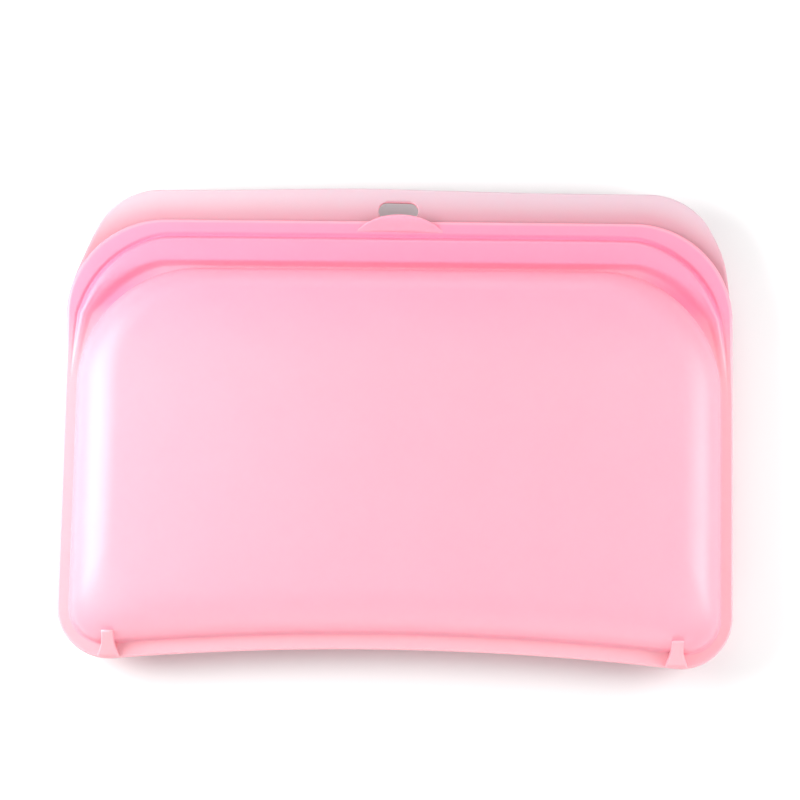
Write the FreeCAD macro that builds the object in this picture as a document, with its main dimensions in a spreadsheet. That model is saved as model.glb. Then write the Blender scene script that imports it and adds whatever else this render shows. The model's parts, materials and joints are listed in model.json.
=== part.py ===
"""Reusable silicone food bag with a pinch-press seal, lying on its back.

Row frame, millimetres: +X to the bag's right, +Y from the bottom seam to the mouth, +Z from the
rear wall to the front wall. The origin is under the bag's middle, on the face it rests on.

The bag is two moulded halves that meet at the bond plane and are bonded round the sides and the
bottom. The mouth along the top stays open: a tongue under the front half presses into a channel
in the rear half. Flexing silicone is split into rigid bodies at three living hinges, which
carry the front half, the pull tab and the rear lip.
"""
import FreeCAD, Part

import math
import os

from Sketcher import Constraint

Vector = FreeCAD.Vector

# Driving dimensions in millimetres, one spreadsheet cell each.
SIZES = {
    # outline of the rear half, which the bonded seams share
    "bag_half_width": 95.0,
    "bag_top": 68.5,
    "bag_bottom_mid": -64.0,
    "bottom_arc_radius": 800.0,
    "lower_corner_radius": 15.0,
    "lip_corner_radius": 20.0,
    "lip_corner_x": 70.0,
    "shoulder_radius": 60.0,
    # raised dome of the front half; the rear one is a gap larger all round
    "dome_half_width": 91.6,
    "dome_top": 44.9,
    "dome_bottom_mid": -59.9,
    "dome_upper_radius": 35.0,
    "dome_lower_radius": 10.0,
    "dome_edge_radius": 8.5,
    "dome_height": 12.0,
    "wall": 1.1,
    "bond_z": 12.0,
    "body_gap": 0.3,
    # seams bonded on both sides of the bond plane
    "seam_thickness": 2.4,
    "seam_end_y": 25.7,
    "seam_corner_y": -50.0,
    # front lip, and the seal ridge inside it
    "front_half_width": 94.4,
    "front_top": 59.0,
    "front_corner_radius": 28.0,
    "front_lip_width": 3.6,
    "front_lip_thickness": 1.5,
    "front_web_thickness": 1.3,
    "ridge_width": 9.0,
    "front_ridge_height": 3.8,
    "ridge_edge_radius": 2.2,
    "ridge_end_y": 36.0,
    "tongue_width": 2.0,
    "tongue_depth": 2.7,
    "tongue_tip_radius": 0.7,
    "tongue_end_y": 40.5,
    # rear seal band with its channel, and the rear lip above it
    "rear_web_thickness": 1.5,
    "rear_ridge_depth": 4.2,
    "channel_width": 2.7,
    "channel_depth": 2.9,
    "channel_stop_y": 39.8,
    "rear_lip_thickness": 1.8,
    "rear_hinge_y": 55.7,
    "slot_length": 11.5,
    "slot_height": 4.8,
    "slot_centre_y": 62.2,
    # pull tab and foot ribs
    "tab_radius": 19.5,
    "tab_top": 60.7,
    "tab_base": 55.7,
    "tab_thickness": 1.4,
    "tab_edge_radius": 0.4,
    "foot_centre_x": 80.0,
    "foot_outer_y": -67.6,
    "foot_inner_y": -64.6,
    "foot_outer_width": 5.7,
    "foot_inner_width": 3.3,
    "foot_outer_height": 0.8,
    "foot_inner_height": 4.8,
}
SHEET = "sizes"
MEET = 1e-5          # two sketch ends this close are the same corner
LEVEL = 1e-4         # an edge or a face this flat is level

S = SIZES
REAR_TOP_Z = S["bond_z"] - S["body_gap"] / 2
FRONT_BASE_Z = S["bond_z"] + S["body_gap"] / 2
SEAM_TOP_Z = S["bond_z"] + S["seam_thickness"] / 2

doc = FreeCAD.newDocument("silicone_bag")
sheet = doc.addObject("Spreadsheet::Sheet", SHEET)
for row, (alias, size) in enumerate(SIZES.items(), start=1):
    sheet.set(f"A{row}", alias)
    sheet.set(f"B{row}", str(size))
    sheet.setAlias(f"B{row}", alias)
doc.recompute()


def cells(expression):
    """An expression in cell names, as a property reads it: each name gets its sheet."""
    words = expression.replace("(", "( ").replace(")", " )").split()
    return " ".join(f"{SHEET}.{word}" if word in SIZES else word for word in words)


# ---- outlines: lists of (edge, what it is bound by), in order round the profile ----

def line(x0, y0, x1, y1, rule=None):
    return Part.LineSegment(Vector(x0, y0, 0), Vector(x1, y1, 0)), rule


def arc(x, y, radius, start, end, rule):
    """Arc about (x, y), anticlockwise from one angle to the other, in radians."""
    circle = Part.Circle(Vector(x, y, 0), Vector(0, 0, 1), radius)
    return Part.ArcOfCircle(circle, start, end), rule


def mirrored(edges):
    """The same edges on the other side of x = 0, in the opposite order."""
    flipped = []
    for edge, rule in reversed(edges):
        if isinstance(edge, Part.LineSegment):
            p, q = edge.StartPoint, edge.EndPoint
            flipped.append(line(-p.x, p.y, -q.x, q.y, flip_rule(rule)))
        else:
            start, end = math.pi - edge.LastParameter, math.pi - edge.FirstParameter
            centre = edge.Center
            flipped.append(arc(-centre.x, centre.y, edge.Radius, start, end, flip_rule(rule)))
    return flipped


def flip_rule(rule):
    if rule is None:
        return None
    kind, first, second = rule
    if kind == "upright":
        return kind, f"0 - ({first})", None
    if kind == "arc" and second is not None:
        return kind, first, f"0 - ({second})"
    return rule


def arch(half_width, top, radius, end_y, bind):
    """An arch over x = 0 from its right foot to its left foot, both at end_y.

    The feet are straight legs where the corner arcs end above end_y; otherwise the arcs are cut
    there. bind gives the expressions of the half width, the top and the corner radius.
    """
    wide, high, bend = bind
    centre_x, centre_y = half_width - radius, top - radius
    right = []
    start = 0.0
    if end_y < centre_y:
        right.append(line(half_width, end_y, half_width, centre_y, ("upright", wide, None)))
    else:
        start = math.asin((end_y - centre_y) / radius)
    centre_rule = f"{wide} - ({bend})" if start else None
    right.append(arc(centre_x, centre_y, radius, start, math.pi / 2, ("arc", bend, centre_rule)))
    across = line(centre_x, top, -centre_x, top, ("level", high, None))
    return right + [across] + mirrored(right)


def band(outer, inner, end_y, end_cell):
    """The profile between two arches with feet at the same level."""
    x_out = outer[0][0].StartPoint.x
    x_in = inner[0][0].StartPoint.x
    left_cap = line(-x_out, end_y, -x_in, end_y, ("level", end_cell, None))
    right_cap = line(x_in, end_y, x_out, end_y, ("level", end_cell, None))
    return outer + [left_cap] + list(reversed(inner)) + [right_cap]


def lower_curve(half_width, bottom_mid, arc_radius, corner, end_y, bind):
    """Left side, hollow bottom edge and right side, with both feet at end_y, left to right."""
    wide, bend, bottom = bind
    corner_x = half_width - corner
    centre_y = bottom_mid - arc_radius
    corner_y = centre_y + math.sqrt((arc_radius + corner) ** 2 - corner_x ** 2)
    lean = math.atan2(corner_y - centre_y, corner_x)
    right = [
        arc(corner_x, corner_y, corner, lean - math.pi, 0.0, ("arc", bend, None)),
        line(half_width, corner_y, half_width, end_y, ("upright", wide, None)),
    ]
    hollow = arc(0.0, centre_y, arc_radius, lean, math.pi - lean, ("arc", bottom, None))
    return mirrored(right) + [hollow] + right


def dome_upper(grow, end_y):
    size = f"+ {grow}" if grow else ""
    return arch(
        S["dome_half_width"] + grow, S["dome_top"] + grow, S["dome_upper_radius"] + grow, end_y,
        (f"dome_half_width {size}", f"dome_top {size}", f"dome_upper_radius {size}"))


def dome_lower(grow, end_y):
    size = f"+ {grow}" if grow else ""
    return lower_curve(
        S["dome_half_width"] + grow, S["dome_bottom_mid"] - grow,
        S["bottom_arc_radius"] - grow, S["dome_lower_radius"] + grow, end_y,
        (f"dome_half_width {size}", f"dome_lower_radius {size}",
         f"bottom_arc_radius - {grow}" if grow else "bottom_arc_radius"))


def dome_outline(grow):
    """The whole outline of a dome, grown outwards by a gap."""
    upper = dome_upper(grow, 0.0)
    lower = dome_lower(grow, 0.0)
    sides = len(lower) - 1
    joined = list(lower)
    joined[0] = line_to(lower[0], upper[-1])
    joined[sides] = line_to(lower[sides], upper[0])
    return joined + upper[1:-1]


def line_to(lower_leg, upper_leg):
    """One side line from the lower curve's leg and the upper arch's leg."""
    ends = [leg[0].StartPoint for leg in (lower_leg, upper_leg)]
    ends += [leg[0].EndPoint for leg in (lower_leg, upper_leg)]
    x = ends[0].x
    low = min(point.y for point in ends)
    high = max(point.y for point in ends)
    return line(x, low, x, high, lower_leg[1])


def shoulder(end_y):
    """Right side of the rear lip: the shoulder arc from end_y, then the corner arc to the top."""
    corner_y = S["bag_top"] - S["lip_corner_radius"]
    arm = S["shoulder_radius"] - S["lip_corner_radius"]
    centre_x = S["bag_half_width"] - S["shoulder_radius"]
    run = S["lip_corner_x"] - centre_x
    centre_y = corner_y - math.sqrt(arm ** 2 - run ** 2)
    lean = math.acos(run / arm)
    start = math.asin((end_y - centre_y) / S["shoulder_radius"]) if end_y > centre_y else 0.0
    low = arc(centre_x, centre_y, S["shoulder_radius"], start, lean,
              ("arc", "shoulder_radius", "bag_half_width - shoulder_radius"))
    high = arc(S["lip_corner_x"], corner_y, S["lip_corner_radius"], lean, math.pi / 2,
               ("arc", "lip_corner_radius", "lip_corner_x"))
    return low, high, centre_y


# ---- document objects ----

def new_body(label):
    part = doc.addObject("PartDesign::Body", label)
    part.Label = label
    return part


def origin_plane(part, role):
    return next(item for item in part.Origin.OriginFeatures if item.Role == role)


def new_sketch(part, role, offset, name):
    """A sketch on an origin plane of its own body, offset along that plane's normal."""
    sketch = part.newObject("Sketcher::SketchObject", name)
    sketch.AttachmentSupport = [(origin_plane(part, role), "")]
    sketch.MapMode = "FlatFace"
    sketch.setExpression("AttachmentOffset.Base.z", cells(offset))
    return sketch


def corner_of(sketch, first, second):
    """Which ends of two edges meet, as (end of first, end of second)."""
    for a in (1, 2):
        for b in (1, 2):
            if (sketch.getPoint(first, a) - sketch.getPoint(second, b)).Length < MEET:
                return a, b
    raise RuntimeError(f"{sketch.Name}: edges {first} and {second} do not meet")


def heading(edge, point):
    """Unit direction of an edge at one of its ends, either way along it."""
    if isinstance(edge, Part.LineSegment):
        return (edge.EndPoint - edge.StartPoint).normalize()
    radial = (point - edge.Center).normalize()
    return Vector(-radial.y, radial.x, 0)


def bind_edge(sketch, index, rule):
    """The edge's own constraints, with their values read from the sheet."""
    if rule is None:
        return
    kind, first, second = rule
    start = sketch.getPoint(index, 1)
    if kind == "arc":
        radius = sketch.Geometry[index].Radius
        named = [("radius", Constraint("Radius", index, radius), first)]
        if second is not None:
            centre = sketch.getPoint(index, 3)
            rule_x = Constraint("DistanceX", -1, 1, index, 3, centre.x)
            named.append(("centre_x", rule_x, second))
    elif kind == "level":
        sketch.addConstraint(Constraint("Horizontal", index))
        named = [("level", Constraint("DistanceY", -1, 1, index, 1, start.y), first)]
    else:
        sketch.addConstraint(Constraint("Vertical", index))
        named = [("upright", Constraint("DistanceX", -1, 1, index, 1, start.x), first)]
    for word, constraint, expression in named:
        place = sketch.addConstraint(constraint)
        name = f"{word}_{index}"
        sketch.renameConstraint(place, name)
        sketch.setExpression(f"Constraints.{name}", cells(expression))


def draw(sketch, edges):
    """Adds a closed profile: its edges, its corners and the sizes of its edges."""
    first = sketch.GeometryCount
    for edge, _rule in edges:
        sketch.addGeometry(edge, False)
    count = len(edges)
    for step in range(count):
        here, after = first + step, first + (step + 1) % count
        a, b = corner_of(sketch, here, after)
        point = sketch.getPoint(here, a)
        turn = heading(edges[step][0], point).cross(heading(edges[(step + 1) % count][0], point))
        kind = "Tangent" if abs(turn.z) < MEET else "Coincident"
        sketch.addConstraint(Constraint(kind, here, a, after, b))
    for step, (_edge, rule) in enumerate(edges):
        bind_edge(sketch, first + step, rule)


def pad(part, sketch, height, name, downward=False):
    feature = part.newObject("PartDesign::Pad", name)
    feature.Profile = sketch
    feature.setExpression("Length", cells(height))
    feature.Reversed = downward
    doc.recompute()
    return feature


def pocket(part, sketch, depth, name, upward=False):
    """Cuts below the sketch, or above it, and checks that something was removed."""
    before = part.Tip.Shape.Volume
    feature = part.newObject("PartDesign::Pocket", name)
    feature.Profile = sketch
    feature.setExpression("Length", cells(depth))
    feature.Reversed = upward
    doc.recompute()
    if feature.Shape.Volume > before - 1.0:
        raise RuntimeError(f"{part.Label}: {name} cut nothing")
    return feature


def is_level(item, z):
    """Whether an edge or a face lies flat at one height."""
    return abs(item.BoundBox.ZMin - z) < LEVEL and abs(item.BoundBox.ZMax - z) < LEVEL


def edges_at(shape, z):
    """Names of the edges that lie at one height."""
    return [f"Edge{number}" for number, edge in enumerate(shape.Edges, start=1) if is_level(edge, z)]


def face_at(shape, z):
    for number, face in enumerate(shape.Faces, start=1):
        if is_level(face, z):
            return f"Face{number}"
    raise RuntimeError(f"no face at {z}")


def round_edges(part, base, names, radius, name="rounding"):
    feature = part.newObject("PartDesign::Fillet", name)
    feature.Base = (base, names)
    feature.setExpression("Radius", cells(radius))
    doc.recompute()
    return feature


# ---- sub-parts ----

def make_wall(label, grow, rim, height, downward):
    """One dome: a padded outline with its outer edge rounded, hollowed from the bond side."""
    part = new_body(label)
    sketch = new_sketch(part, "XY_Plane", rim, f"{label}_outline")
    draw(sketch, dome_outline(grow))
    block = pad(part, sketch, height, f"{label}_block", downward)
    box = block.Shape.BoundBox
    crown_z, rim_z = (box.ZMin, box.ZMax) if downward else (box.ZMax, box.ZMin)
    crown = round_edges(part, block, edges_at(block.Shape, crown_z), "dome_edge_radius")
    shell = part.newObject("PartDesign::Thickness", f"{label}_shell")
    shell.Base = (crown, [face_at(crown.Shape, rim_z)])
    shell.Reversed = True
    shell.setExpression("Value", cells("wall"))
    doc.recompute()
    return part


def make_profile(label, edges, base, height, downward=False):
    """A flat piece: one profile padded from one level."""
    part = new_body(label)
    sketch = new_sketch(part, "XY_Plane", base, f"{label}_profile")
    draw(sketch, edges)
    pad(part, sketch, height, f"{label}_pad", downward)
    return part


def ridge_arch(inset, bind_inset, end_y):
    """An arch a given distance inside the front half's edge."""
    return arch(
        S["front_half_width"] - inset, S["front_top"] - inset, S["front_corner_radius"] - inset,
        end_y,
        (f"front_half_width - ( {bind_inset} )", f"front_top - ( {bind_inset} )",
         f"front_corner_radius - ( {bind_inset} )"))


def ridge_band(width, width_cell, end_y, end_cell):
    """A band of a given width along the middle of the seal ridge."""
    middle = S["front_lip_width"] + S["ridge_width"] / 2
    outer = ridge_arch(middle - width / 2,
                       f"front_lip_width + ridge_width / 2 - {width_cell} / 2", end_y)
    inner = ridge_arch(middle + width / 2,
                       f"front_lip_width + ridge_width / 2 + {width_cell} / 2", end_y)
    return band(outer, inner, end_y, end_cell)


def make_seams():
    grow = S["body_gap"]
    base, height = "bond_z - seam_thickness / 2", "seam_thickness"
    corner_y, end_y = S["seam_corner_y"], S["seam_end_y"]
    outside = lower_curve(S["bag_half_width"], S["bag_bottom_mid"], S["bottom_arc_radius"],
                          S["lower_corner_radius"], corner_y,
                          ("bag_half_width", "lower_corner_radius", "bottom_arc_radius"))
    inside = dome_lower(grow, corner_y)
    x_out, x_in = S["bag_half_width"], S["dome_half_width"] + grow
    right_cap = line(x_out, corner_y, x_in, corner_y, ("level", "seam_corner_y", None))
    left_cap = line(-x_in, corner_y, -x_out, corner_y, ("level", "seam_corner_y", None))
    profile = outside + [right_cap] + list(reversed(inside)) + [left_cap]
    make_profile("bottom_seam", profile, base, height)

    arched = dome_upper(grow, end_y)
    cut = arched[0]
    spring_y = S["dome_top"] - S["dome_upper_radius"]
    leg_rule = ("upright", f"dome_half_width + {grow}", None)
    start = math.asin((end_y - spring_y) / (S["dome_upper_radius"] + grow))
    bend = arc(cut[0].Center.x, spring_y, cut[0].Radius, 0.0, start,
               ("arc", f"dome_upper_radius + {grow}", None))
    right = [
        line(x_in, corner_y, x_out, corner_y, ("level", "seam_corner_y", None)),
        line(x_out, corner_y, x_out, end_y, ("upright", "bag_half_width", None)),
        line(x_out, end_y, bend[0].EndPoint.x, end_y, ("level", "seam_end_y", None)),
        bend,
        line(x_in, spring_y, x_in, corner_y, leg_rule),
    ]
    make_profile("side_seam_right", right, base, height)
    make_profile("side_seam_left", mirrored(right), base, height)


def make_front_band():
    """Web from the dome to the lip, with the seal ridge standing on it."""
    end_y = S["seam_end_y"] + S["body_gap"]
    end_cell = "seam_end_y + body_gap"
    outer = ridge_arch(S["front_lip_width"], "front_lip_width", end_y)
    web = band(outer, dome_upper(0.0, end_y), end_y, end_cell)
    base = "bond_z + body_gap / 2"
    part = make_profile("front_seal_band", web, base, "front_web_thickness")
    ridge = new_sketch(part, "XY_Plane", base, "front_ridge_profile")
    draw(ridge, ridge_band(S["ridge_width"], "ridge_width", S["ridge_end_y"], "ridge_end_y"))
    block = pad(part, ridge, "front_ridge_height", "front_ridge")
    top = FRONT_BASE_Z + S["front_ridge_height"]
    round_edges(part, block, edges_at(block.Shape, top), "ridge_edge_radius")
    return part


def make_front_lip():
    end_y = S["seam_end_y"] + S["body_gap"]
    edges = band(ridge_arch(0.0, "0", end_y),
                 ridge_arch(S["front_lip_width"], "front_lip_width", end_y),
                 end_y, "seam_end_y + body_gap")
    return make_profile("front_lip", edges, "bond_z + body_gap / 2", "front_lip_thickness")


def make_tongue():
    edges = ridge_band(S["tongue_width"], "tongue_width", S["tongue_end_y"], "tongue_end_y")
    part = make_profile("seal_tongue", edges, "bond_z + body_gap / 2",
                        "tongue_depth", downward=True)
    tip = FRONT_BASE_Z - S["tongue_depth"]
    round_edges(part, part.Tip, edges_at(part.Tip.Shape, tip), "tongue_tip_radius")
    return part


def make_rear_band():
    """Web of the rear half with the downward ridge, and the channel sunk in its upper side."""
    end_y = S["seam_end_y"]
    top_y = S["rear_hinge_y"] - S["body_gap"] / 2
    low, _high, spring_y = shoulder(end_y)
    start_point = math.asin((top_y - spring_y) / S["shoulder_radius"])
    bend = arc(low[0].Center.x, spring_y, S["shoulder_radius"], 0.0, start_point,
               ("arc", "shoulder_radius", None))
    right = [line(S["bag_half_width"], end_y, S["bag_half_width"], spring_y,
                  ("upright", "bag_half_width", None)), bend]
    x_top = bend[0].EndPoint.x
    across = line(x_top, top_y, -x_top, top_y, ("level", "rear_hinge_y - body_gap / 2", None))
    outer = right + [across] + mirrored(right)
    web = band(outer, dome_upper(S["body_gap"], end_y), end_y, "seam_end_y")
    base = "bond_z - body_gap / 2"
    part = make_profile("rear_seal_band", web, base, "rear_web_thickness", downward=True)
    ridge = new_sketch(part, "XY_Plane", base, "rear_ridge_profile")
    draw(ridge, ridge_band(S["ridge_width"], "ridge_width", S["ridge_end_y"], "ridge_end_y"))
    block = pad(part, ridge, "rear_ridge_depth", "rear_ridge", downward=True)
    low_z = REAR_TOP_Z - S["rear_ridge_depth"]
    round_edges(part, block, edges_at(block.Shape, low_z), "ridge_edge_radius")
    channel = new_sketch(part, "XY_Plane", base, "channel_profile")
    draw(channel, ridge_band(S["channel_width"], "channel_width", S["ridge_end_y"], "ridge_end_y"))
    pocket(part, channel, "channel_depth", "channel")
    return part


def make_channel_stops():
    """The plugs that close the channel's two ends, below the tongue's ends."""
    middle = S["front_half_width"] - S["front_lip_width"] - S["ridge_width"] / 2
    centre_x = S["front_half_width"] - S["front_corner_radius"]
    centre_y = S["front_top"] - S["front_corner_radius"]
    foot, head = S["ridge_end_y"], S["channel_stop_y"]
    walls = []
    for side in (-1, 1):
        radius = middle + side * S["channel_width"] / 2 - centre_x
        bend = ("front_corner_radius - front_lip_width - ridge_width / 2 "
                + ("+" if side > 0 else "-") + " channel_width / 2")
        start, end = (math.asin((level - centre_y) / radius) for level in (foot, head))
        walls.append(arc(centre_x, centre_y, radius, start, end,
                         ("arc", bend, "front_half_width - front_corner_radius")))
    near, far = walls
    right = [
        line(near[0].StartPoint.x, foot, far[0].StartPoint.x, foot, ("level", "ridge_end_y", None)),
        far,
        line(far[0].EndPoint.x, head, near[0].EndPoint.x, head, ("level", "channel_stop_y", None)),
        near,
    ]
    base = "bond_z - body_gap / 2"
    make_profile("seal_end_right", right, base, "channel_depth", downward=True)
    make_profile("seal_end_left", mirrored(right), base, "channel_depth", downward=True)


def make_rear_lip():
    """The single-layer lip above the seal, with its hanging slot."""
    foot_y = S["rear_hinge_y"] + S["body_gap"] / 2
    low, high, _centre_y = shoulder(foot_y)
    right = [low, high]
    top = line(S["lip_corner_x"], S["bag_top"], -S["lip_corner_x"], S["bag_top"],
               ("level", "bag_top", None))
    x_foot = low[0].StartPoint.x
    foot = line(-x_foot, foot_y, x_foot, foot_y, ("level", "rear_hinge_y + body_gap / 2", None))
    part = make_profile("rear_lip", right + [top] + mirrored(right) + [foot],
                        "bond_z - body_gap / 2", "rear_lip_thickness", downward=True)
    slot = new_sketch(part, "XY_Plane", "bond_z - body_gap / 2", "hanging_slot_profile")
    radius = S["slot_height"] / 2
    reach = S["slot_length"] / 2 - radius
    middle = S["slot_centre_y"]
    end = arc(reach, middle, radius, -math.pi / 2, math.pi / 2,
              ("arc", "slot_height / 2", "slot_length / 2 - slot_height / 2"))
    other = arc(-reach, middle, radius, math.pi / 2, 3 * math.pi / 2,
                ("arc", "slot_height / 2", "0 - ( slot_length / 2 - slot_height / 2 )"))
    above = line(reach, middle + radius, -reach, middle + radius,
                 ("level", "slot_centre_y + slot_height / 2", None))
    below = line(-reach, middle - radius, reach, middle - radius, None)
    draw(slot, [end, above, other, below])
    pocket(part, slot, "rear_lip_thickness", "hanging_slot")
    return part


def make_pull_tab():
    """A half-round flap standing over the front lip's edge."""
    centre_y = S["tab_top"] - S["tab_radius"]
    start = math.asin((S["tab_base"] - centre_y) / S["tab_radius"])
    dome = arc(0.0, centre_y, S["tab_radius"], start, math.pi - start, ("arc", "tab_radius", "0"))
    x = dome[0].StartPoint.x
    edges = [dome, line(-x, S["tab_base"], x, S["tab_base"], ("level", "tab_base", None))]
    base = "bond_z + body_gap / 2 + front_lip_thickness + body_gap"
    part = make_profile("pull_tab", edges, base, "tab_thickness")
    top = FRONT_BASE_Z + S["front_lip_thickness"] + S["body_gap"] + S["tab_thickness"]
    round_edges(part, part.Tip, edges_at(part.Tip.Shape, top), "tab_edge_radius")
    return part


def make_foot(label, side):
    """A tapered rib on the bottom seam: low and wide outside, high and narrow at the dome."""
    part = new_body(label)
    sections = []
    for place in ("outer", "inner"):
        # the XZ plane's normal is -Y, so a sketch further along it lies at a lower Y
        sketch = new_sketch(part, "XZ_Plane", f"0 - foot_{place}_y", f"{label}_{place}")
        half = S[f"foot_{place}_width"] / 2
        high = SEAM_TOP_Z + S[f"foot_{place}_height"]
        x0, x1 = side * S["foot_centre_x"] - half, side * S["foot_centre_x"] + half
        centre = "foot_centre_x" if side > 0 else "0 - foot_centre_x"
        draw(sketch, [
            line(x0, SEAM_TOP_Z, x1, SEAM_TOP_Z, ("level", "bond_z + seam_thickness / 2", None)),
            line(x1, SEAM_TOP_Z, x1, high, ("upright", f"{centre} + foot_{place}_width / 2", None)),
            line(x1, high, x0, high,
                 ("level", f"bond_z + seam_thickness / 2 + foot_{place}_height", None)),
            line(x0, high, x0, SEAM_TOP_Z,
                 ("upright", f"{centre} - foot_{place}_width / 2", None)),
        ])
        sections.append(sketch)
    loft = part.newObject("PartDesign::AdditiveLoft", f"{label}_loft")
    loft.Profile = sections[0]
    loft.Sections = [sections[1]]
    loft.Ruled = True
    doc.recompute()
    return part


make_wall("rear_wall", S["body_gap"], "bond_z - body_gap / 2", "bond_z - body_gap / 2", True)
make_wall("front_wall", 0.0, "bond_z + body_gap / 2", "dome_height", False)
make_seams()
make_front_band()
make_front_lip()
make_tongue()
make_rear_band()
make_channel_stops()
make_rear_lip()
make_pull_tab()
make_foot("foot_rib_right", 1)
make_foot("foot_rib_left", -1)
doc.recompute()

# ---- checks, then one STEP file a sub-part ----

bad = [item.Label for item in doc.Objects if {"Invalid", "Error"} & set(item.State)]
bodies = [item for item in doc.Objects if item.TypeId == "PartDesign::Body"]
bad += [item.Label for item in bodies if item.Shape.isNull() or not item.Shape.isValid()]
bad += [item.Label for item in bodies if not item.Shape.isNull() and len(item.Shape.Solids) != 1]
if bad:
    raise RuntimeError(f"failed objects: {sorted(set(bad))}")

os.makedirs("parts", exist_ok=True)
for item in bodies:
    item.Shape.exportStep(f"parts/{item.Label}.step")
    box = item.Shape.BoundBox
    print(f"{item.Label}: {item.Shape.Volume / 1000:.2f} cm3, x {box.XMin:.2f} {box.XMax:.2f}, "
          f"y {box.YMin:.2f} {box.YMax:.2f}, z {box.ZMin:.2f} {box.ZMax:.2f}")
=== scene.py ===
import json
import math

import bmesh
import bpy
import numpy as np
from mathutils import Matrix, Vector, noise

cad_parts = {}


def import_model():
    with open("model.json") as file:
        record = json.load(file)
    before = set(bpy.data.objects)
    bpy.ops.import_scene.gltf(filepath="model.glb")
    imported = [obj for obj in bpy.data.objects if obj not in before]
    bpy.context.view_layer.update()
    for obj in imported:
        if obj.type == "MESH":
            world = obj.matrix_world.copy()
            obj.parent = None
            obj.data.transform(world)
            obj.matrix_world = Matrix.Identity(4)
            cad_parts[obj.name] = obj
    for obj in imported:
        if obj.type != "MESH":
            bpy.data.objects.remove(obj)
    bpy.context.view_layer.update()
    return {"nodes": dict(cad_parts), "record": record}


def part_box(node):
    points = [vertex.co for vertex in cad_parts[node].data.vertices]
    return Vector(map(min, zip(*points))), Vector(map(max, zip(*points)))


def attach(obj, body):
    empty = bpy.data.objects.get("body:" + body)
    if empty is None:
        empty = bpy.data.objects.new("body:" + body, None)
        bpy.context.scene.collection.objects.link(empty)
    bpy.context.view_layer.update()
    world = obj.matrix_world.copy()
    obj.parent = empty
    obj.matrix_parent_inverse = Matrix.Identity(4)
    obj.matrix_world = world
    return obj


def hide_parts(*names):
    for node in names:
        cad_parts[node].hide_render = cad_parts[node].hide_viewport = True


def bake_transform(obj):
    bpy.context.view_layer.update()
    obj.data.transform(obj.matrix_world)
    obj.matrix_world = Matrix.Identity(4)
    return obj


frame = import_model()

MM = 0.001

# ---- sizes read from the frame, in metres ----
DOME_LOW, DOME_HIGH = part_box("front_wall")
REAR_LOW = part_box("rear_wall")[0]
SEAM_LOW, SEAM_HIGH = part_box("bottom_seam")
LIP_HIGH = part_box("front_lip")[1]
REAR_LIP_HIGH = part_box("rear_lip")[1]
TONGUE_LOW, TONGUE_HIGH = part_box("seal_tongue")
TAB_LOW, TAB_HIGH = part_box("pull_tab")
BOND_Z = (SEAM_LOW.z + SEAM_HIGH.z) / 2
SLOT = next(mount for mount in frame["record"]["mounts"] if mount["name"] == "hanging_slot")

# ---- sizes of the moulding that the frame doesn't state, in metres ----
BOTTOM_ARC = 800 * MM                 # radius of the hollow bottom edge
BAG_SAG, DOME_SAG = 3.94 * MM, 4.1 * MM
BAG_CORNER, DOME_CORNER = 15 * MM, 10 * MM
LIP_CORNER, DOME_SHOULDER = 28 * MM, 35 * MM
REAR_CORNER, REAR_SHOULDER = 20 * MM, 60 * MM
REAR_CORNER_IN = 25 * MM              # how far in from the side the rear corner's centre is
LIP_THICK, WALL_THICK = 1.5 * MM, 1.1 * MM
EDGE_RADIUS = 0.8 * MM
FILLET = 0.9 * MM                     # at the dome's foot
FILLET_RUN = FILLET * 0.5
CORNER_GROWTH = 0.15                  # how fast the dome's lower corners widen as it draws in
SHOULDER_RUN = {"side": 13.0 * MM, "high": 8.5 * MM, "low": 14.0 * MM}
CROWN = 1.0 * MM
MOUTH_FROM, MOUTH_TO = 14 * MM, 36 * MM          # heights at which the seams give way to the lips

# The seal bead's two flanks, as distances in from the front lip's edge, at runs round that edge
# from where its corner begins: the bead narrows round the corner and runs out on the side.
BEAD_AT = np.array([0, 7, 15, 22, 29, 35, 43, 50, 58]) * MM
BEAD_OUTER = np.array([4.9, 5.8, 6.3, 6.2, 5.9, 5.2, 3.9, 2.7, 1.9]) * MM
BEAD_INNER = np.array([13.0, 13.2, 12.9, 12.1, 10.8, 9.0, 6.9, 4.9, 2.8]) * MM
BEAD_RISE = np.array([2.1, 2.1, 2.1, 2.0, 1.8, 1.5, 0.8, 0.3, 0.0]) * MM
OUTER_FLANK, INNER_FLANK = 1.3 * MM, 0.9 * MM    # half the run of each flank
GROOVE = 0.45 * MM                    # depth of the groove between the lip and the bead
BEAD_CROWN = 0.12                     # how much higher the bead is at its middle, as a share
HOLLOW_FROM, HOLLOW_TO = 1 * MM, 5 * MM          # widths of no hollow and of a full one
HOLLOW_SLOPE = 0.7                    # how much of a full hollow the bead's flank takes up

# Depths of pink, as painted light and shade: THIN_PAINTED_LIGHT is the palest, painted light on the
# thin seams; 0 the pillow's; up to 1 the deepest, painted shade on the lips, bead, groove, creases
# and hollows.
THIN_PAINTED_LIGHT = -0.25                          # the thin seams, painted paler as if lit through
RIM_PAINTED_SHADE, BEAD_PAINTED_SHADE, GROOVE_PAINTED_SHADE = 0.1, 0.38, 0.18
FOOT_PAINTED_SHADE, HOLLOW_PAINTED_SHADE, HOLLOW_FOOT_PAINTED_SHADE = 0.1, 0.55, 0.5
TOP_PAINTED_SHADE, TOP_RUN = 0.2, 34 * MM      # painted shade: the pillow's pink deepens towards the mouth
# painted shade on the pull tab, less than on the lip
TAB_PAINTED_SHADE = 0.15

# Painted light and shade on the rear lip: shaded next to the front lip's edge and paler outwards,
# from LIP_PAINTED_LIGHT_START at the front lip's edge to 1.
LIP_PAINTED_LIGHT_START, LIP_PAINTED_LIGHT_RUN = 0.12, 8.5 * MM
LIP_PAINTED_LIGHT_EDGE_IN, LIP_PAINTED_LIGHT_EDGE_OUT = -1.5 * MM, -0.3 * MM

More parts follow.
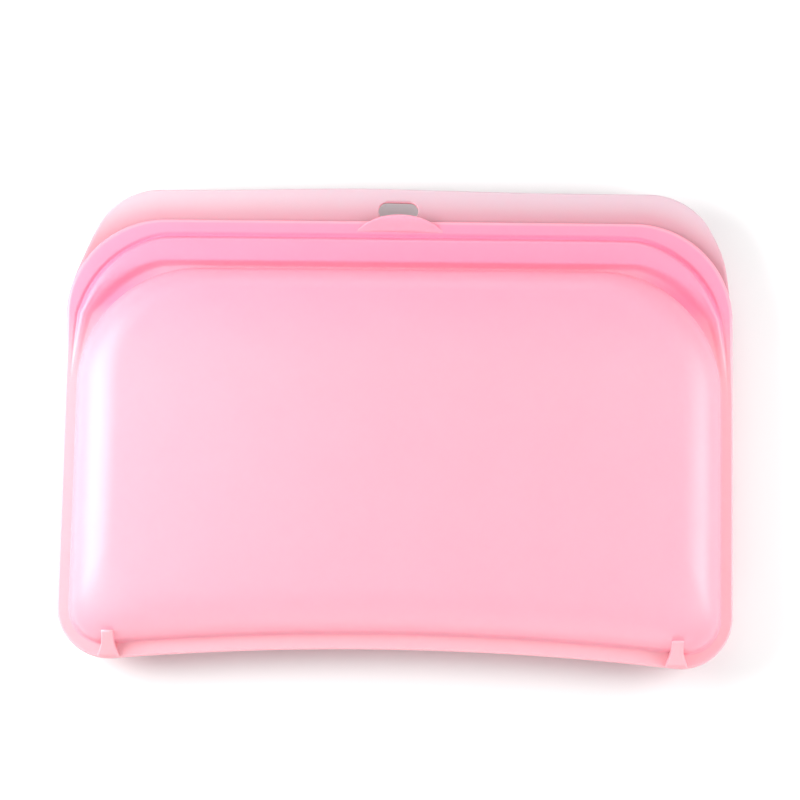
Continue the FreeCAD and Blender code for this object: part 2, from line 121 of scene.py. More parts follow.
TAB_SHIFT = -0.6 * MM                 # the tab and the slot stand a little off the middle
LEAN = 0.0095                         # the mouth's half is turned this much against the base
LEAN_FROM, LEAN_TO = -20 * MM, 45 * MM
LIP_BUMP = 0.9 * MM                   # the rear lip bows up left of its middle
BUMP_AT_MM, BUMP_WIDTH_MM = -14, 26
LIP_SLIDE = 1.3 * MM                  # the rear lip lies this much to the right of the front one
SLIDE_FROM, SLIDE_TO = 36 * MM, 52 * MM
LIP_SINK, LIP_DRIFT, LIP_WAVE = 0.35 * MM, 0.3 * MM, 0.35 * MM

FOOT_SLIDE = -1.0 * MM                # the right foot stands a little nearer the middle
FOOT_BACK = 3.7 * MM                  # how far the feet run on over the dome's wall
FOOT_TOP_MM, FOOT_CLIMB_MM = 0.7, 6.9            # their height outside, and how much they climb
FOOT_NARROW = 0.6                     # their width up the wall, as a share of that outside

# samples round one half of an outline, sector by sector
COUNTS = {"bottom": 40, "low_corner": 20, "side": 44, "high_corner": 56, "top": 52}


def smooth(low, high, value):
    """0 at low, 1 at high and an even curve between."""
    t = np.clip((np.asarray(value) - low) / (high - low), 0, 1)
    return t * t * (3 - 2 * t)


# ---- outlines ----

def arc_points(x, y, radius, start, end, count=64):
    angle = np.linspace(start, end, count)
    return np.stack([x + radius * np.cos(angle), y + radius * np.sin(angle)], 1)


def resample(path, count, last=False):
    """count even steps along a polyline, without its last point unless asked."""
    run = np.concatenate([[0], np.cumsum(np.linalg.norm(np.diff(path, axis=0), axis=1))])
    at = np.linspace(0, run[-1], count + 1)
    points = np.stack([np.interp(at, run, path[:, axis]) for axis in (0, 1)], 1)
    return points if last else points[:-1]


def outline(half_width, top, low_mid, low_corner, high_corner):
    """A closed outline from the bottom middle anticlockwise, always with the same number of points.

    high_corner(half_width, top) gives the right upper corner as a polyline, bottom to top.
    """
    centre_y = low_mid - BOTTOM_ARC
    corner_x = half_width - low_corner
    corner_y = centre_y + math.sqrt((BOTTOM_ARC + low_corner) ** 2 - corner_x ** 2)
    lean = math.atan2(corner_y - centre_y, corner_x)
    high = high_corner(half_width, top)
    right = np.concatenate([
        resample(arc_points(0, centre_y, BOTTOM_ARC, math.pi / 2, lean), COUNTS["bottom"]),
        resample(arc_points(corner_x, corner_y, low_corner, lean - math.pi, 0),
                 COUNTS["low_corner"]),
        resample(np.array([[half_width, corner_y], high[0]]), COUNTS["side"]),
        resample(high, COUNTS["high_corner"]),
        resample(np.array([high[-1], [0, top]]), COUNTS["top"], last=True),
    ])
    left = right[-2:0:-1] * [-1, 1]
    return np.concatenate([right, left])


def round_corner(radius):
    def corner(half_width, top):
        return arc_points(half_width - radius, top - radius, radius, 0, math.pi / 2)
    return corner


def shoulder_corner(half_width, top):
    """The rear lip's corner: a long shoulder arc, then a tighter one into the top edge."""
    corner_x, corner_y = half_width - REAR_CORNER_IN, top - REAR_CORNER
    arm, run = REAR_SHOULDER - REAR_CORNER, corner_x - (half_width - REAR_SHOULDER)
    centre_y = corner_y - math.sqrt(arm ** 2 - run ** 2)
    lean = math.acos(run / arm)
    low = arc_points(half_width - REAR_SHOULDER, centre_y, REAR_SHOULDER, 0, lean)
    high = arc_points(corner_x, corner_y, REAR_CORNER, lean, math.pi / 2)
    return np.concatenate([low, high[1:]])


def dome_outline(side, high, low):
    """The dome's outline drawn in by a distance at its sides, its top and its bottom."""
    corner = DOME_CORNER + (side + low) * CORNER_GROWTH
    return outline(DOME_HIGH.x - side, DOME_HIGH.y - high, DOME_LOW.y + DOME_SAG + low, corner,
                   round_corner(DOME_SHOULDER - (side + high) / 2))


def inward_of(points):
    """Unit normals of a closed anticlockwise outline, pointing inwards."""
    along = np.roll(points, -1, 0) - np.roll(points, 1, 0)
    along /= np.linalg.norm(along, axis=1)[:, None]
    return np.stack([-along[:, 1], along[:, 0]], 1)


def cross(a, b):
    return a[..., 0] * b[..., 1] - a[..., 1] * b[..., 0]


def where_rays_meet(edge, inward, target):
    """How far along each inward ray the target outline is, and where on it (index and fraction)."""
    step = np.roll(target, -1, 0) - target
    offset = target[None] - edge[:, None]
    turn = cross(inward[:, None], step[None])
    turn = np.where(np.abs(turn) < 1e-12, 1e-12, turn)
    reach = cross(offset, step[None]) / turn
    share = cross(offset, inward[:, None]) / turn
    hit = (share >= -1e-9) & (share < 1) & (reach > 0)
    reach = np.where(hit, reach, np.inf)
    nearest = reach.argmin(1)
    rows = np.arange(len(edge))
    return reach[rows, nearest], nearest + share[rows, nearest]


def pick(points, at):
    """Points of a closed outline at places given as index and fraction."""
    index = np.floor(at).astype(int)
    share = (at - index)[:, None]
    count = len(points)
    return points[index % count] * (1 - share) + points[(index + 1) % count] * share


BAG_EDGE = outline(SEAM_HIGH.x, REAR_LIP_HIGH.y, SEAM_LOW.y + BAG_SAG, BAG_CORNER, shoulder_corner)
BAG_EDGE[:, 0] += LIP_SLIDE * smooth(SLIDE_FROM, SLIDE_TO, BAG_EDGE[:, 1])
FRONT_EDGE = outline(SEAM_HIGH.x, LIP_HIGH.y, SEAM_LOW.y + BAG_SAG, BAG_CORNER,
                     round_corner(LIP_CORNER))
INWARD = inward_of(FRONT_EDGE)
GAP, FOOT_AT = where_rays_meet(FRONT_EDGE, INWARD, dome_outline(0, 0, 0))
RING = len(FRONT_EDGE)


def reach_of(edge):
    """How far an outer edge stands out past the front lip's edge, for each point round it."""
    start = 0.5 * MM                      # rays start this far inside, so that none misses
    reach = where_rays_meet(FRONT_EDGE + INWARD * start, -INWARD, edge)[0] - start
    return np.clip(reach, 0, None)


def corner_run():
    """Runs round the front lip's edge from the beginnings of its upper corners."""
    up = FRONT_EDGE[:, 1] - (LIP_HIGH.y - LIP_CORNER)
    out = np.abs(FRONT_EDGE[:, 0]) - (SEAM_HIGH.x - LIP_CORNER)
    round_it = LIP_CORNER * np.arctan2(out, np.maximum(up, 0))
    return np.where(up < 0, LIP_CORNER * math.pi / 2 - up, round_it)


REAR_REACH = reach_of(BAG_EDGE)
CORNER_RUN = corner_run()

# how far into the mouth's zone each point round the outline is: 0 at the seams, 1 along the top
MOUTH = smooth(MOUTH_FROM, MOUTH_TO, FRONT_EDGE[:, 1])


# ---- skins: rings from the outer edge inwards ----

def soften(values, reach=7):
    """A closed run of values, averaged with its neighbours."""
    return sum(np.roll(values, shift) for shift in range(-reach, reach + 1)) / (2 * reach + 1)


def hollow_share():
    """How wide the hollow between the bead and the dome is round the outline, up to 1."""
    inner = np.interp(CORNER_RUN, BEAD_AT, BEAD_INNER) + INNER_FLANK
    return soften(smooth(HOLLOW_FROM, HOLLOW_TO, GAP - inner) * MOUTH)


def brim_breaks():
    """Distances in from the front lip's edge where its lip, flanks and bead begin and end."""
    outer, inner = (np.interp(CORNER_RUN, BEAD_AT, side) for side in (BEAD_OUTER, BEAD_INNER))
    designed = [outer - OUTER_FLANK, outer + OUTER_FLANK,
                inner - INNER_FLANK, inner + INNER_FLANK]
    plain = [GAP * share for share in (0.3, 0.45, 0.65, 0.8)]
    breaks = [soften(flat + (bead - flat) * MOUTH) for flat, bead in zip(plain, designed)]
    breaks[3] = breaks[3] + (GAP - breaks[3]) * HOLLOW_SLOPE * hollow_share()
    return np.minimum(np.maximum.accumulate([np.zeros(RING), *breaks, GAP]), GAP)


class Rings:
    """Rings of a skin, with the painted shade, the rear lip's painted light and the rim's fullness
    along each.
    """

    def __init__(self):
        self.places, self.deep, self.pale, self.rim = [], [], [], []

    def add(self, place, z, deep=0.0, pale=0.0, rim=1.0):
        self.places.append(np.column_stack([place, np.broadcast_to(z, len(place))]))
        for store, value in ((self.deep, deep), (self.pale, pale), (self.rim, rim)):
            store.append(np.broadcast_to(np.asarray(value, float), len(place)))


def brim_rings(reach):
    """Rings from an outer edge to the dome's foot.

    reach is how far the edge stands out past the front lip's edge, for each point round it.
    """
    rings = Rings()
    breaks = brim_breaks()
    rise = soften(np.interp(CORNER_RUN, BEAD_AT, BEAD_RISE) * MOUTH)
    lip_z = SEAM_HIGH.z + (LIP_HIGH.z - SEAM_HIGH.z) * MOUTH
    hollow = hollow_share()
    edge_run = np.minimum(np.full(RING, EDGE_RADIUS), (reach + breaks[1]) * 0.5)

    # Each ring carries painted shade: the lip and bead a deeper pink than the pillow, the rim less,
    # more in the groove and the hollow beside the dome.
    def add(distance, lift, deep=BEAD_PAINTED_SHADE):
        past = distance - reach
        rim = np.clip(distance / edge_run, 0, 1)
        pale = 0.0
        # painted light and shade on the rear lip: paler outwards, shaded next to the front lip's
        # edge
        if reach.max() > 0:
            pale = (LIP_PAINTED_LIGHT_START * smooth(LIP_PAINTED_LIGHT_EDGE_IN, LIP_PAINTED_LIGHT_EDGE_OUT, -past)
                    + (1 - LIP_PAINTED_LIGHT_START) * smooth(0, LIP_PAINTED_LIGHT_RUN, -past))
        # painted shade along the mouth, faded out on the rear lip
        rings.add(FRONT_EDGE + INWARD * past[:, None], lip_z + lift,
                  THIN_PAINTED_LIGHT + (deep - THIN_PAINTED_LIGHT) * MOUTH * (1 - smooth(0, LIP_PAINTED_LIGHT_START, pale)), pale,
                  np.sqrt(1 - (1 - rim) ** 2))

    # the rim
    for angle in np.linspace(0, math.pi / 2, 6):
        add(edge_run * (1 - math.cos(angle)), 0.0, RIM_PAINTED_SHADE)
    # the flat lip
    flat_run = reach + breaks[1] - edge_run
    for share in np.linspace(0, 1, 16 if reach.max() > 0 else 8)[1:-1]:
        add(edge_run + flat_run * share, 0.0)
    # the groove and the bead's outer flank, with painted shade in the groove
    for share in (0.0, 0.1, 0.2, 0.3, 0.4, 0.5, 0.62, 0.74, 0.87):
        dip = GROOVE * MOUTH * math.sin(math.pi * min(share / 0.75, 1)) ** 2
        level = float(smooth(0.5, 1.0, share))
        add(reach + breaks[1] + (breaks[2] - breaks[1]) * share, rise * level - dip,
            BEAD_PAINTED_SHADE + GROOVE_PAINTED_SHADE * math.sin(math.pi * min(share / 0.85, 1)))
    # the bead
    for share in np.linspace(0, 1, 9)[:-1]:
        add(reach + breaks[2] + (breaks[3] - breaks[2]) * share,
            rise * (1 + BEAD_CROWN * (1 - (2 * share - 1) ** 2)))
    # its inner flank, its painted shade turning to that of the hollow
    for share in (0.0, 0.12, 0.26, 0.4, 0.5, 0.6, 0.74, 0.88):
        add(reach + breaks[3] + (breaks[4] - breaks[3]) * share,
            rise * (1 - float(smooth(0, 1, share))),
            BEAD_PAINTED_SHADE + (HOLLOW_PAINTED_SHADE * hollow + FOOT_PAINTED_SHADE - BEAD_PAINTED_SHADE) * share)
    # the flat beside the dome, with painted shade in the hollow and at the dome's foot
    for share in (0.0, 0.25, 0.5, 0.75):
        add(reach + breaks[4] + (breaks[5] - breaks[4]) * share, 0.0,
            FOOT_PAINTED_SHADE + HOLLOW_PAINTED_SHADE * hollow)
    return rings


def near_top(place):
    """How near each point of the dome is to the mouth, up to 1."""
    return smooth(DOME_HIGH.y - TOP_RUN, DOME_HIGH.y, place[:, 1])


def add_dome(rings, crown):
    """Adds rings up the wall, round the shoulder and over the plateau; gives the middle point."""
    foot_z, top_z = SEAM_HIGH.z, DOME_HIGH.z
    hollow = hollow_share()
    # Painted shade: the pink deepens at the dome's foot and in the hollow beside it, and over the
    # pillow towards the mouth.
    for angle in np.linspace(0, math.pi / 2, 5):
        inset = FILLET_RUN * math.sin(angle)
        lip_rise = (LIP_HIGH.z - SEAM_HIGH.z) * MOUTH * math.cos(angle)
        rings.add(pick(dome_outline(inset, inset, inset), FOOT_AT),
                  foot_z + lip_rise + FILLET * (1 - math.cos(angle)),
                  (FOOT_PAINTED_SHADE + HOLLOW_FOOT_PAINTED_SHADE * hollow * math.cos(angle)) * MOUTH)
    start_z, end_z = foot_z + FILLET, top_z - crown
    for angle in np.linspace(0, math.pi / 2, 22)[1:]:
        share = 1 - math.cos(angle)
        place = dome_outline(*(FILLET_RUN + run * share for run in SHOULDER_RUN.values()))
        z = start_z + (end_z - start_z) * math.sin(angle)
        place = pick(place, FOOT_AT)
        rings.add(place, z, TOP_PAINTED_SHADE * near_top(place))
    rim = rings.places[-1][:, :2]
    middle = np.array([0, (DOME_LOW.y + DOME_HIGH.y) / 2])
    for share in np.linspace(1, 0, 22)[1:-1]:
        place = middle + (rim - middle) * share
        rings.add(place, end_z + crown * (1 - share ** 2), TOP_PAINTED_SHADE * near_top(place))
    return np.array([middle[0], middle[1], top_z])


def new_piece(name, points, faces, rounded=False):
    mesh = bpy.data.meshes.new(name)
    mesh.from_pydata([tuple(point) for point in points], [], faces)
    mesh.update()
    mesh.polygons.foreach_set("use_smooth", [rounded] * len(mesh.polygons))
    piece = bpy.data.objects.new(name, mesh)
    bpy.context.scene.collection.objects.link(piece)
    return piece


def skin_piece(name, rings, tip, flip):
    """A surface through the rings, closed at the middle by a fan."""
    faces = []
    count = len(rings.places)
    for ring in range(count - 1):
        a, b = ring * RING, (ring + 1) * RING
        for i in range(RING):
            j = (i + 1) % RING
            faces.append((a + i, a + j, b + j, b + i))
    last, middle = (count - 1) * RING, count * RING
    faces += [(last + i, last + (i + 1) % RING, middle) for i in range(RING)]
    if flip:
        faces = [face[::-1] for face in faces]
    piece = new_piece(name, np.concatenate(rings.places + [tip[None]]), faces)
    # the painted shade, and the rear lip's painted light and shade, one number a vertex
    record(piece, "deep", painted_shade_mix(np.append(np.concatenate(rings.deep), 0.0)))
    record(piece, "pale", np.append(np.concatenate(rings.pale), 0.0))
    return piece


def painted_shade_mix(deep):
    """The colour's mix for an amount of painted shade."""
    return (deep - THIN_PAINTED_LIGHT) / (1 - THIN_PAINTED_LIGHT)


def record(piece, title, values):
    """Keeps one number a vertex, for the painted light and shade in the silicone's colour."""
    attribute = piece.data.attributes.new(title, "FLOAT", "POINT")
    attribute.data.foreach_set("value", np.asarray(values, np.float32))


def apply_modifiers(piece):
    bpy.context.view_layer.update()
    evaluated = piece.evaluated_get(bpy.context.evaluated_depsgraph_get())
    mesh = bpy.data.meshes.new_from_object(evaluated)
    piece.modifiers.clear()
    piece.data = mesh
    mesh.polygons.foreach_set("use_smooth", [True] * len(mesh.polygons))


def thicken(piece, brim_count, rings):
    """Gives the skin its wall and a rounded rim.

    The lips are thicker than the halves of the seams, and those than the dome. The rim is rounded
    on both sides along the mouth, and on its outer side where the halves are bonded.
    """
    group = piece.vertex_groups.new(name="thickness")
    seam = (SEAM_HIGH.z - BOND_Z) / LIP_THICK * 0.99
    for index in range(len(piece.data.vertices)):
        ring, around = divmod(index, RING)
        if ring < brim_count:
            share = seam + (1 - seam) * float(MOUTH[around])
        else:
            share = WALL_THICK / LIP_THICK
        group.add([index], share, "REPLACE")
    modifier = piece.modifiers.new("wall", "SOLIDIFY")
    modifier.thickness = LIP_THICK
    modifier.offset = -1
    modifier.vertex_group = "thickness"
    apply_modifiers(piece)
    vertices = piece.data.vertices
    sheet = len(vertices) // 2
    rim_rings = 8
    thinnest = 0.12                       # of the lip's thickness, at the very edge
    for ring in range(rim_rings):
        for around in range(RING):
            outer, inner = vertices[ring * RING + around], vertices[sheet + ring * RING + around]
            scale = thinnest + (1 - thinnest) * float(rings.rim[ring][around])
            fixed = inner.co.z + (outer.co.z - inner.co.z) / 2 * float(MOUTH[around])
            outer.co.z = fixed + (outer.co.z - fixed) * scale
            inner.co.z = fixed + (inner.co.z - fixed) * scale


def make_front_skin():
    """Front half: lip, seal bead, pillow, and the front face of the bonded seams."""
    rings = brim_rings(np.zeros(RING))
    brim_count = len(rings.places)
    tip = add_dome(rings, CROWN)
    piece = skin_piece("front_half_skin", rings, tip, flip=False)
    thicken(piece, brim_count, rings)
    return piece


def make_rear_skin():
    """Rear half: the same moulding below the bond plane, with the taller lip and a flat base."""
    rings = brim_rings(REAR_REACH)
    brim_count = len(rings.places)
    tip = add_dome(rings, 0.0)
    reach = (BOND_Z - REAR_LOW.z) / (DOME_HIGH.z - BOND_Z)
    for place in rings.places:
        place[:, 2] = BOND_Z - (place[:, 2] - BOND_Z) * reach
    tip[2] = BOND_Z - (tip[2] - BOND_Z) * reach
    piece = skin_piece("rear_half_skin", rings, tip, flip=True)
    thicken(piece, brim_count, rings)
    return piece


def cut_slot(piece):
    """The round-ended hanging slot through the rear lip."""
    radius = SLOT["dims"]["r_mm"] * MM
    reach = SLOT["dims"]["slot_length_mm"] * MM / 2 - radius
    centre = Vector(SLOT["pos_m"]) + Vector((TAB_SHIFT, 0, 0))
    right = arc_points(centre.x + reach, centre.y, radius, -math.pi / 2, math.pi / 2, 24)
    left = arc_points(centre.x - reach, centre.y, radius, math.pi / 2, 3 * math.pi / 2, 24)
    ring = np.concatenate([right, left])
    count = len(ring)
    points = [(x, y, z) for z in (0.0, BOND_Z + LIP_THICK * 3) for x, y in ring]
    faces = [(i, (i + 1) % count, count + (i + 1) % count, count + i) for i in range(count)]
    faces += [tuple(range(count))[::-1], tuple(range(count, 2 * count))]
    cutter = new_piece("slot_cutter", points, faces)
    modifier = piece.modifiers.new("slot", "BOOLEAN")
    modifier.operation = "DIFFERENCE"
    modifier.solver = "EXACT"
    modifier.object = cutter
    apply_modifiers(piece)
    bpy.data.objects.remove(cutter)


def make_tongue():
    """The seal's tongue: a rounded fin under the middle of the front bead."""
    breaks = brim_breaks()
    middle = (breaks[2] + breaks[3]) / 2
    half = (TONGUE_HIGH.z - TONGUE_LOW.z) * 0.37
    along = np.flatnonzero(FRONT_EDGE[:, 1] > TONGUE_LOW.y + 1 * MM)
    top_z = LIP_HIGH.z + 0.2 * MM
    section = [(-half, top_z)]
    for angle in np.linspace(math.pi, 2 * math.pi, 9):
        section.append((half * math.cos(angle), TONGUE_LOW.z + half + half * math.sin(angle)))
    section.append((half, top_z))
    points = []
    for around in along:
        for shift, z in section:
            place = FRONT_EDGE[around] + INWARD[around] * (middle[around] + shift)
            points.append((place[0], place[1], z))
    width, rows = len(section), len(along)
    faces = grid_faces(rows, width, closed=True)
    faces.append(tuple(range(width))[::-1])
    faces.append(tuple((rows - 1) * width + col for col in range(width)))
    return new_piece("seal_tongue_fin", points, faces, rounded=True)


def grid_faces(rows, width, closed=False):
    """Quads between the rows of a grid of points, round each row's end if it is closed."""
    faces = []
    for row in range(rows - 1):
        for col in range(width if closed else width - 1):
            after = (col + 1) % width
            a, b = row * width, (row + 1) * width
            faces.append((a + col, a + after, b + after, b + col))
    return faces


def make_tab():
    """The half-round pull tab: it leaves the lip flush and rises to its thicker, round edge."""
    chord = TAB_HIGH.x
    height = TAB_HIGH.y - TAB_LOW.y
    radius = (chord ** 2 + height ** 2) / (2 * height)
    centre_y = TAB_HIGH.y - radius
    start = math.asin((TAB_LOW.y - centre_y) / radius)
    rim = arc_points(0, centre_y, radius, start, math.pi - start, 61)
    low_z, root_z, top_z = LIP_HIGH.z + 0.25 * MM, LIP_HIGH.z + 0.02 * MM, TAB_HIGH.z + 0.2 * MM
    bevel_run, sink = 0.6 * MM, 0.9 * MM  # the edge's rounding, and the root's depth in the lip
    shares = [0, 0.15, 0.3, 0.45, 0.58, 0.7, 0.79, 0.86, 0.91, 0.95, 0.98, 1.0]
    layers = []
    for side in (1, -1):
        layer = []
        for share in shares:
            place = np.column_stack([rim[:, 0], TAB_LOW.y + (rim[:, 1] - TAB_LOW.y) * share])
            inset = radius - np.hypot(place[:, 0], place[:, 1] - centre_y)
            near = np.clip(inset / bevel_run, 0, 1)
            bevel = np.sqrt(1 - (1 - near) ** 2)
            up = smooth(0, height * 0.8, place[:, 1] - TAB_LOW.y)
            top = root_z + (top_z - root_z) * up
            base = low_z - sink * (1 - up)
            middle, half = (top + base) / 2, (top - base) / 2
            layer.append(np.column_stack([place, middle + side * half * bevel]))
        layers.append(layer)
    grid = layers[0] + layers[1][-2::-1]
    points = np.concatenate(grid)
    points[:, 0] += TAB_SHIFT
    spread = len(rim)
    faces = grid_faces(len(grid), spread)
    last = (len(grid) - 1) * spread
    faces += [(col, last + col, last + col + 1, col + 1) for col in range(spread - 1)]
    piece = new_piece("pull_tab_flap", points, faces)
    tidy = bmesh.new()
    tidy.from_mesh(piece.data)
    bmesh.ops.remove_doubles(tidy, verts=tidy.verts, dist=1e-6)
    bmesh.ops.dissolve_degenerate(tidy, edges=tidy.edges, dist=1e-7)
    bmesh.ops.recalc_face_normals(tidy, faces=tidy.faces)
    tidy.to_mesh(piece.data)
    tidy.free()
    piece.data.polygons.foreach_set("use_smooth", [True] * len(piece.data.polygons))
    # painted shade on the tab, lighter than the lip's
    record(piece, "deep", painted_shade_mix(np.full(len(piece.data.vertices), TAB_PAINTED_SHADE)))
    return piece


def make_foot(name, node, shift):
    """A flat-topped gusset on the bottom seam, flared outside and narrow up the dome's wall."""
    low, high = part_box(node)
    middle = (low.x + high.x) / 2 + shift
    wide = (high.x - low.x) / 2
    narrow = wide * FOOT_NARROW
    base_z = SEAM_HIGH.z - 0.3 * MM
    rows = []
    for share in np.linspace(0, 1, 9):
        y = low.y + 0.1 * MM + (high.y + FOOT_BACK - low.y) * share
        half = narrow + (wide - narrow) * (1 - smooth(0, 0.62, share))
        rows.append((y, half, SEAM_HIGH.z + (FOOT_TOP_MM + FOOT_CLIMB_MM * share) * MM))
    section = [(-1.15, 0.0), (-1.08, 0.5), (-1.0, 0.86), (-0.93, 0.97), (-0.8, 1.0),
               (0.8, 1.0), (0.93, 0.97), (1.0, 0.86), (1.08, 0.5), (1.15, 0.0)]
    points = [(middle + half * across, y, base_z + (top - base_z) * up)
              for y, half, top in rows for across, up in section]
    width = len(section)
    faces = [face[::-1] for face in grid_faces(len(rows), width, closed=True)]
    faces.append(tuple(range(width)))
    faces.append(tuple((len(rows) - 1) * width + col for col in range(width))[::-1])
    return new_piece(name, points, faces, rounded=True)


# ---- natural unevenness ----

def settle(piece):
    """Turns the mouth's half slightly and lets the soft lips and walls wander a little."""
    for vertex in piece.data.vertices:
        x, y, z = vertex.co
        share = float(smooth(LEAN_FROM, LEAN_TO, y))
        lip = float(smooth(LIP_HIGH.y - 1 * MM, REAR_LIP_HIGH.y, y))
        drift = noise.noise(Vector((x * 22, y * 9, 4.2)))
        vertex.co.x = x - LEAN * share * y
        bump = LIP_BUMP * math.exp(-((x / MM - BUMP_AT_MM) / BUMP_WIDTH_MM) ** 2)
        bow = bump - LIP_SINK + LIP_DRIFT * drift
        vertex.co.y = y + LEAN * share * x + lip * bow
        vertex.co.z = z + lip * LIP_WAVE * drift


# ---- the front pieces' placement, baked into their meshes ----


def bend_front(piece):
    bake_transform(piece)
    points = np.zeros(len(piece.data.vertices) * 3)
    piece.data.vertices.foreach_get("co", points)


# ---- materials ----

# The silicone's own pink, then the deeper pink of painted shade.
PINK, PAINTED_SHADE_PINK = (0.98, 0.4375, 0.499), (0.98, 0.125, 0.345)
# The rear lip's painted shade next to the front lip, and its painted light outwards.
LIP_PAINTED_SHADE_INNER, LIP_PAINTED_LIGHT_OUTER = (0.61, 0.265, 0.325), (0.65, 0.475, 0.535)
ROUGHNESS, SHEEN, SUBSURFACE, ALPHA = 0.45, 0.8, 0.3, 0.92
UNEVEN = 0.06                         # how much the roughness wanders either way
SCATTER, SCATTER_DEPTH = (1.0, 0.35, 0.45), 3 * MM


def node(tree, kind, **values):
    """A shader node with some of its inputs set."""
    made = tree.nodes.new(kind)
    for name, value in values.items():
        made.inputs[name].default_value = value
    return made


def add_grain(tree, shader):
    """Fine matte grain: a bump and a slightly uneven roughness."""
    place = tree.nodes.new("ShaderNodeTexCoord")
    fine = node(tree, "ShaderNodeTexNoise", Scale=2600.0, Detail=2.0)
    broad = node(tree, "ShaderNodeTexNoise", Scale=55.0, Detail=3.0)
    bump = node(tree, "ShaderNodeBump", Strength=0.06, Distance=0.00012)
    wave = node(tree, "ShaderNodeBump", Strength=0.10, Distance=0.0012)
    for texture in (fine, broad):
        tree.links.new(place.outputs["Object"], texture.inputs["Vector"])
    tree.links.new(broad.outputs["Fac"], wave.inputs["Height"])
    tree.links.new(fine.outputs["Fac"], bump.inputs["Height"])
    tree.links.new(wave.outputs["Normal"], bump.inputs["Normal"])
    tree.links.new(bump.outputs["Normal"], shader.inputs["Normal"])
    rough = node(tree, "ShaderNodeMapRange")
    rough.inputs["To Min"].default_value = ROUGHNESS - UNEVEN
    rough.inputs["To Max"].default_value = ROUGHNESS + UNEVEN
    tree.links.new(broad.outputs["Fac"], rough.inputs["Value"])
    tree.links.new(rough.outputs["Result"], shader.inputs["Roughness"])
    return broad


def silicone(name):
    """Milky pink silicone, faintly mottled, with painted shade deepening it in the hollows and
    painted light and shade on the rear lip.
    """
    material = bpy.data.materials.new(name)
    material.use_nodes = True
    tree = material.node_tree
    shader = tree.nodes["Principled BSDF"]
    shader.inputs["Alpha"].default_value = ALPHA
    shader.inputs["Specular IOR Level"].default_value = SHEEN
    shader.inputs["Subsurface Weight"].default_value = SUBSURFACE
    shader.inputs["Subsurface Radius"].default_value = SCATTER
    shader.inputs["Subsurface Scale"].default_value = SCATTER_DEPTH
    broad = add_grain(tree, shader)
    plain = blend_colour(tree, broad.outputs["Fac"], [c * 0.98 for c in PINK], PINK)
    # painted light and shade on the rear lip
    lip = blend_colour(tree, attribute_of(tree, "pale"), LIP_PAINTED_SHADE_INNER, LIP_PAINTED_LIGHT_OUTER)
    is_lip = node(tree, "ShaderNodeMapRange")
    is_lip.inputs["From Max"].default_value = LIP_PAINTED_LIGHT_START
    tree.links.new(attribute_of(tree, "pale"), is_lip.inputs["Value"])
    ground = blend_colour(tree, is_lip.outputs["Result"], plain, lip)
    # painted shade: the deeper pink in the creases and hollows
    with_painted_shade = blend_colour(tree, attribute_of(tree, "deep"), ground, PAINTED_SHADE_PINK)
    tree.links.new(with_painted_shade, shader.inputs["Base Color"])
    return material


def attribute_of(tree, name):
    """The number that the mesh keeps under a name."""
    source = tree.nodes.new("ShaderNodeAttribute")
    source.attribute_name = name
    return source.outputs["Fac"]


def blend_colour(tree, factor, first, second):
    """A mix of two colours, each a constant or a socket."""
    mix = tree.nodes.new("ShaderNodeMix")
    mix.data_type = "RGBA"
    tree.links.new(factor, mix.inputs["Factor"])
    for title, colour in (("A", first), ("B", second)):
        if isinstance(colour, bpy.types.NodeSocket):
            tree.links.new(colour, mix.inputs[title])
        else:
            mix.inputs[title].default_value = (*colour, 1)
    return mix.outputs["Result"]


def wear(piece, material):
    piece.data.materials.clear()
    piece.data.materials.append(material)


# ---- camera ----
FOCAL_PX, SENSOR_MM, FRAME_PX = 3200, 36, 800
ELEVATION, ROLL = math.radians(80), math.radians(1.1)
DISTANCE = 0.910
AIM = Vector((0.0003, 0.0072, BOND_Z))


def make_camera():
    data = bpy.data.cameras.new("camera")
    data.sensor_width = SENSOR_MM
    data.lens = FOCAL_PX / FRAME_PX * SENSOR_MM
    camera = bpy.data.objects.new("camera", data)
    bpy.context.scene.collection.objects.link(camera)
    back = Vector((0, -math.cos(ELEVATION), math.sin(ELEVATION)))
    turn = Matrix.Rotation(ROLL, 3, back)
    right = turn @ Vector((1, 0, 0))
    up = turn @ Vector((0, math.sin(ELEVATION), math.cos(ELEVATION)))
    rotation = Matrix((right, up, back)).transposed()
    camera.matrix_world = Matrix.Translation(AIM + back * DISTANCE) @ rotation.to_4x4()
    bpy.context.scene.camera = camera


# ---- floor and light ----
FLOOR_REACH = 3.0                     # half the floor's width
FLOOR_WHITE, FLOOR_ROUGHNESS = 0.78, 0.7
LIGHTS = {  # place, width and watts
    "key": ((-0.31, 0.03, 0.23), 0.26, 1.75),
    "fill": ((0.34, 0.00, 0.22), 0.22, 1.0),
    "back": ((0.03, 0.42, 0.30), 0.30, 0.55),
    "low": ((0.05, -0.45, 0.16), 0.4, 0.8),
}
WORLD = 0.46


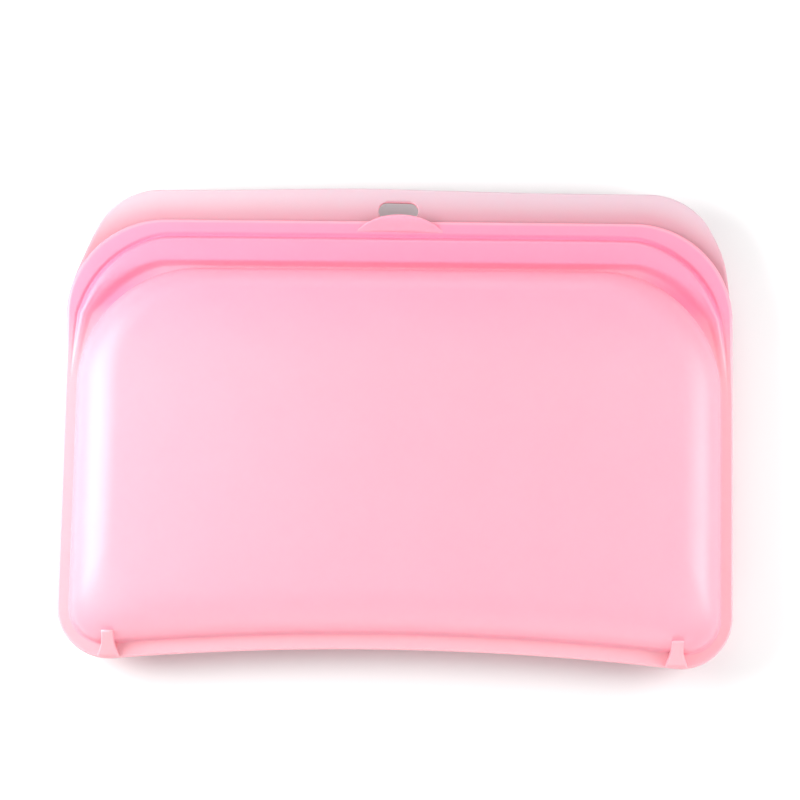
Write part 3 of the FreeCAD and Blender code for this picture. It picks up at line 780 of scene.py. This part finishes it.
def make_floor():
    far = FLOOR_REACH
    corners = [(-far, -far, 0), (far, -far, 0), (far, far, 0), (-far, far, 0)]
    floor = new_piece("floor", corners, [(0, 1, 2, 3)])
    material = bpy.data.materials.new("floor")
    material.use_nodes = True
    shader = material.node_tree.nodes["Principled BSDF"]
    shader.inputs["Base Color"].default_value = (FLOOR_WHITE, FLOOR_WHITE, FLOOR_WHITE, 1)
    shader.inputs["Roughness"].default_value = FLOOR_ROUGHNESS
    wear(floor, material)


def area_light(name, place, size, watts):
    """A round lamp that faces the origin."""
    data = bpy.data.lights.new(name, "AREA")
    data.shape = "DISK"
    data.size = size
    data.energy = watts
    light = bpy.data.objects.new(name, data)
    bpy.context.scene.collection.objects.link(light)
    light.location = place
    light.rotation_euler = (-Vector(place)).to_track_quat("-Z", "Y").to_euler()


def make_light():
    for name, (place, size, watts) in LIGHTS.items():
        area_light(name, place, size, watts)
    world = bpy.data.worlds.new("world")
    world.use_nodes = True
    background = world.node_tree.nodes["Background"]
    background.inputs["Color"].default_value = (1, 1, 1, 1)
    background.inputs["Strength"].default_value = WORLD
    bpy.context.scene.world = world
    bpy.context.scene.view_settings.view_transform = "Standard"


make_camera()
make_floor()
make_light()

SILICONE = silicone("silicone")
front = make_front_skin()
rear = make_rear_skin()
cut_slot(rear)
tongue = make_tongue()
tab = make_tab()
feet = [make_foot("foot_left", "foot_rib_left", 0.0),
        make_foot("foot_right", "foot_rib_right", FOOT_SLIDE)]

for piece in [front, rear, tongue]:
    settle(piece)

for piece in [front, rear, tongue, tab, *feet, *frame["nodes"].values()]:
    wear(piece, SILICONE)

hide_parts("front_wall", "front_seal_band", "front_lip")
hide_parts("rear_wall", "rear_seal_band", "bottom_seam", "side_seam_left", "side_seam_right",
            "rear_lip")
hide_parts("seal_tongue")
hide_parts("pull_tab")
for foot, side in zip(feet, ("left", "right")):
    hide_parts(f"foot_rib_{side}")
    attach(foot, "root")

bend_front(front)
bend_front(tongue)
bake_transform(rear)
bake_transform(tab)
